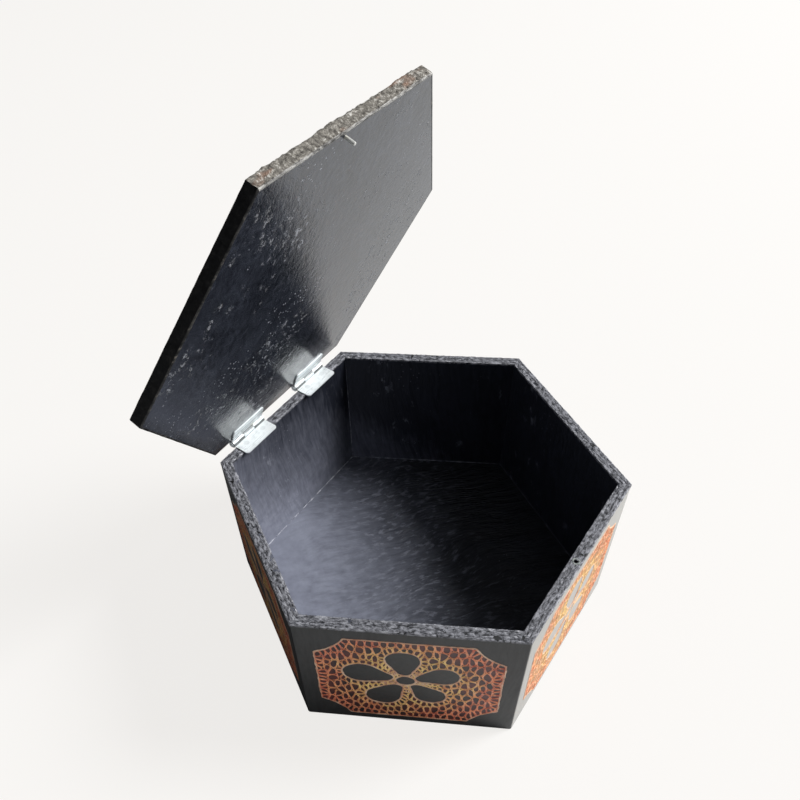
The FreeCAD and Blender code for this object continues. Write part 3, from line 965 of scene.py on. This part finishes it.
def bead(vertices, faces, start, end, radius, seed):
    """Adds a thin uneven bead of glue along a straight joint."""
    count = max(8, round((end - start).length / (0.8 * MM)))
    along = (end - start).normalized()
    side = along.orthogonal().normalized()
    other = along.cross(side)
    first = len(vertices)
    around = 6
    for k in range(count + 1):
        middle = start.lerp(end, k / count)
        middle = middle + noise.noise_vector(middle * 400 + Vector((seed, 0, 0))) * 0.12 * MM
        swell = radius * max(0.35, 1.0 + 1.3 * noise.noise(middle * 520 + Vector((0, seed, 0))))
        for j in range(around):
            angle = 2 * math.pi * j / around
            vertices.append(middle + (side * math.cos(angle) + other * math.sin(angle)) * swell)
    for k in range(count):
        for j in range(around):
            here, there = first + around * k, first + around * (k + 1)
            nxt = (j + 1) % around
            faces.append((here + j, here + nxt, there + nxt, there + j))
    faces.append(tuple(first + j for j in reversed(range(around))))
    faces.append(tuple(first + around * count + j for j in range(around)))


def build_seams(material):
    """Glue squeezed out of the inner joints, along the floor and up the corners: pale only where the painted
    light falls.
    """
    vertices, faces = [], []
    inner = APOTHEM - WALL_THICKNESS
    for k in range(6):
        half_side = inner * HALF_SIDE_RATIO
        start, end = (wall_turn(k) @ Vector((x, -inner, FLOOR_TOP)) for x in (-half_side, half_side))
        upper = end.copy()
        upper.z = WALL_HEIGHT - 0.6 * MM
        bead(vertices, faces, start, end, FLOOR_BEAD_RADIUS, k)
        bead(vertices, faces, end, upper, CORNER_BEAD_RADIUS, k + 20)
    seams = new_object("glue_seams", vertices, faces, [material])
    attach(seams, "box")


def latch_hole_centre():
    """Middle of the latch hole in the rim, under the latch pin's place when the lid is shut."""
    low, high = shut_box("latch_pin")
    return Vector(((low.x + high.x) / 2, (low.y + high.y) / 2, WALL_HEIGHT))


def build_hole_ring(material):
    """Pale swollen ring of paint round the latch hole."""
    centre = latch_hole_centre()
    vertices, faces = [], []
    count, around = 28, 6
    for k in range(count):
        turn = 2 * math.pi * k / count
        out = Vector((math.cos(turn), math.sin(turn), 0))
        swell = HOLE_RING_THICKNESS * (1 + 0.8 * noise.noise(out * 1.7))
        for j in range(around):
            angle = 2 * math.pi * j / around
            rise = Vector((0, 0, swell * math.sin(angle)))
            vertices.append(centre + out * (HOLE_RING_RADIUS + swell * math.cos(angle)) + rise)
    for k in range(count):
        for j in range(around):
            here, there = around * k, around * ((k + 1) % count)
            nxt = (j + 1) % around
            faces.append((here + j, there + j, there + nxt, here + nxt))
    ring = new_object("latch_hole_ring", vertices, faces, [material])
    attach(ring, "box")


def build_lid_edges(materials):
    """Paint over the lid's edge faces: broken filler and wood along the front, chipped black elsewhere.

    materials holds the finishes of the front face, of the other faces, of the front's lower arris and of the
    other lower ones.
    """
    low, high = (corner.z for corner in shut_box("lid_panel"))
    profile = [(-0.9 * MM, low, 0, -1), (-0.45 * MM, low, 0, -1), (-0.12 * MM, low + 0.1 * MM, 0.7, -0.7)]
    rise = 8
    for k in range(rise + 1):
        height = low + 0.35 * MM + (high - low - 0.7 * MM) * k / rise
        profile.append((0, height, 1, 0))
    profile += [(-0.12 * MM, high - 0.1 * MM, 0.7, 0.7), (-0.45 * MM, high, 0, 1), (-0.9 * MM, high, 0, 1)]
    inner = APOTHEM - 0.8 * MM

    def choose(side, column):
        return (2 if column < 3 else 0) + (0 if side == 0 else 1)

    def thickness(point, side):
        base, amount = (0.14, 0.5) if side == 0 else (0.05, 0.09)
        if point.z < low + 0.2 * MM:
            amount *= 0.4
        rough = lumpiness(point, 600, 8.0) * 0.5 + lumpiness(point, 150, 2.0) * 0.8
        reach = abs(point.dot(wall_turn(side) @ Vector((0, -1, 0))))
        return faded(base + amount * max(-0.1, rough), reach - inner)

    edges = ring_strip("lid_edge_paint", profile, 170, materials, choose, thickness)
    edges.matrix_world = OPENING
    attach(edges, "lid")


# ---- finishes of the CAD nodes and of the pieces on them ----
def dress_nodes():
    """Gives every CAD node its finish."""
    grounds = {None: mosaic_ground("mosaic_ground")}
    petals = {None: petal_paint("petal_paint")}
    # finishes with painted light: a painted sheen on the latch wall, painted shade on the wall left of the
    # hinges
    for wall, (on_paint, on_inlay) in PAINTED_LIGHTS.items():
        grounds[wall] = mosaic_ground(wall + "_mosaic_ground", on_inlay)
        petals[wall] = petal_paint(wall + "_petal_paint", on_paint)
    for k, wall in enumerate(WALLS):
        on_paint, _ = PAINTED_LIGHTS.get(wall, (None, None))
        set_material(wall + "_wall", wall_paint(wall, k * math.pi / 3, on_paint))
    for panel in WALLS + ("lid",):
        key = panel if panel in PAINTED_LIGHTS else None
        set_material(panel + "_ornament", grounds[key])
        set_material(panel + "_flower", petals[key])
    set_material("floor_panel", floor_paint())
    set_material("lid_panel", lid_paint())
    roll = KNUCKLE_RADIUS
    plate = zinc("hinge_plate", rgb(238, 244, 247), 0.42)
    heads = zinc("nail_heads", rgb(230, 235, 236), 0.42)
    # dark crease lines at these distances; at the knuckle's radius they paint the shade where leaf meets
    # barrel
    flat = zinc("flat_leaf", rgb(246, 251, 252), 0.30, (roll, 0.2 * roll, -0.5 * roll))
    raised = zinc("raised_leaf", rgb(236, 243, 246), 0.42, (roll, 0.0, 2.2 * roll, 3.2 * roll), REST_OPENING)
    for side in ("left", "right"):
        set_material(side + "_hinge_box_leaf", flat)
        set_material(side + "_hinge_lid_leaf", raised)
        set_material(side + "_hinge_pin", plate)
        for part in ("box_nails", "lid_nails"):
            set_material(side + "_hinge_" + part, heads)
    set_material("latch_pin", zinc("latch_wire", rgb(206, 206, 202), 0.34))


def rim_finishes():
    """For each side, a crust brushed along it and a paler one for its arrises."""
    kinds = (
        ("crust", rgb(30, 31, 36), rgb(150, 151, 158), rgb(216, 217, 222), 0.8),
        ("arris", rgb(70, 71, 76), rgb(170, 171, 178), rgb(230, 230, 234), 0.9),
    )
    return [
        crust(f"rim_{kind}_{side}", *tones, scale=1150.0, turn=side * math.pi / 3)
        for side in range(len(WALLS))
        for kind, *tones in kinds
    ]


def lid_edge_finishes():
    """Front face, other faces, the front's lower arris, the other lower arrises."""
    black_tones = (rgb(12, 12, 13), rgb(30, 30, 31), rgb(150, 142, 130), 0.06)
    pale_arris_tones = (rgb(66, 64, 62), rgb(188, 186, 182), rgb(226, 224, 220), 0.8)
    black_arris_tones = (rgb(18, 18, 20), rgb(70, 69, 68), rgb(176, 168, 156), 0.6)
    return [
        raw_edge(),
        crust("black_edge", *black_tones, scale=480.0, relief=0.00015, gloss=0.12),
        crust("pale_arris", *pale_arris_tones),
        crust("black_arris", *black_arris_tones, scale=420.0, relief=0.0002, gloss=0.2),
    ]


def build_mosaics():
    """The raised lines of all panels, on the walls and on the lid."""
    outline = outline_line("outline_line")
    # walls with painted sheen or painted shade get their own line finishes
    with_painted_light = {
        wall: [
            mosaic_line(wall + "_mosaic_line", MOSAIC_REACH, on_inlay),
            outline_line(wall + "_outline_line", on_inlay),
        ]
        for wall, (_, on_inlay) in PAINTED_LIGHTS.items()
    }
    build_wall_mosaics([mosaic_line("mosaic_line", MOSAIC_REACH), outline], with_painted_light)
    build_lid_mosaic([mosaic_line("lid_mosaic_line", LID_MOSAIC_REACH), outline])


# ---- camera, light and ground ----
def aimed(heading, elevation):
    """Direction at a heading round Z and an elevation over the horizon, in degrees."""
    heading, elevation = math.radians(heading), math.radians(elevation)
    level = math.cos(elevation)
    return Vector((level * math.cos(heading), level * math.sin(heading), math.sin(elevation)))


def build_camera():
    """It stands high over the corner left of the latch wall and looks down into the box."""
    data = bpy.data.cameras.new("camera")
    data.sensor_width = 36.0
    data.lens = CAMERA_LENS
    data.shift_x, data.shift_y = CAMERA_SHIFT
    camera = bpy.data.objects.new("camera", data)
    bpy.context.scene.collection.objects.link(camera)
    forward = aimed(CAMERA_HEADING, -CAMERA_DESCENT)
    right = forward.cross(Vector((0, 0, 1))).normalized()
    up = right.cross(forward)
    roll = math.radians(CAMERA_ROLL)
    tilted_right = right * math.cos(roll) + up * math.sin(roll)
    tilted_up = up * math.cos(roll) - right * math.sin(roll)
    turn = Matrix((tilted_right, tilted_up, -forward)).transposed().to_4x4()
    side = 2 * APOTHEM * HALF_SIDE_RATIO
    place = Vector(CAMERA_PLACE) * side + Vector((0, 0, WALL_HEIGHT))
    camera.matrix_world = Matrix.Translation(place) @ turn
    bpy.context.scene.camera = camera


def build_key_light():
    """One soft round light."""
    data = bpy.data.lights.new("key_softbox", "AREA")
    data.shape = "DISK"
    data.size = KEY_SIZE
    data.energy = KEY_POWER
    lamp = bpy.data.objects.new("key_softbox", data)
    bpy.context.scene.collection.objects.link(lamp)
    lamp.location = aimed(KEY_HEADING, KEY_ELEVATION) * KEY_DISTANCE
    lamp.rotation_euler = (Vector(KEY_TARGET) - lamp.location).to_track_quat("-Z", "Y").to_euler()


def build_world():
    """An even fill for the object, and plain white where the camera looks past the ground."""
    world = bpy.data.worlds.new("studio")
    bpy.context.scene.world = world
    world.use_nodes = True
    nodes = world.node_tree.nodes
    nodes.clear()
    fill = nodes.new("ShaderNodeBackground")
    fill.inputs["Color"].default_value = FILL_COLOUR
    fill.inputs["Strength"].default_value = FILL_STRENGTH
    white = nodes.new("ShaderNodeBackground")
    white.inputs["Color"].default_value = BACKDROP_COLOUR
    path = nodes.new("ShaderNodeLightPath")
    blend = nodes.new("ShaderNodeMixShader")
    output = nodes.new("ShaderNodeOutputWorld")
    link = world.node_tree.links.new
    link(path.outputs["Is Camera Ray"], blend.inputs[0])
    link(fill.outputs[0], blend.inputs[1])
    link(white.outputs[0], blend.inputs[2])
    link(blend.outputs[0], output.inputs["Surface"])


def build_ground():
    """A pale level floor, far larger than the box."""
    half = GROUND_HALF_SIZE
    corners = [(-half, -half, 0), (half, -half, 0), (half, half, 0), (-half, half, 0)]
    ground = new_object("ground", corners, [(0, 1, 2, 3)], [pale_floor()], smooth=False)
    ground.location.z = -GROUND_DROP


bpy.context.scene.view_settings.view_transform = "Standard"
build_camera()
build_world()
build_ground()
build_key_light()
dress_nodes()
build_rim(rim_finishes())
build_hole_ring(crust("hole_ring", rgb(96, 104, 100), rgb(178, 184, 180), rgb(214, 216, 214), 0.6))
build_seams(seam_glue())
build_lid_edges(lid_edge_finishes())
build_mosaics()
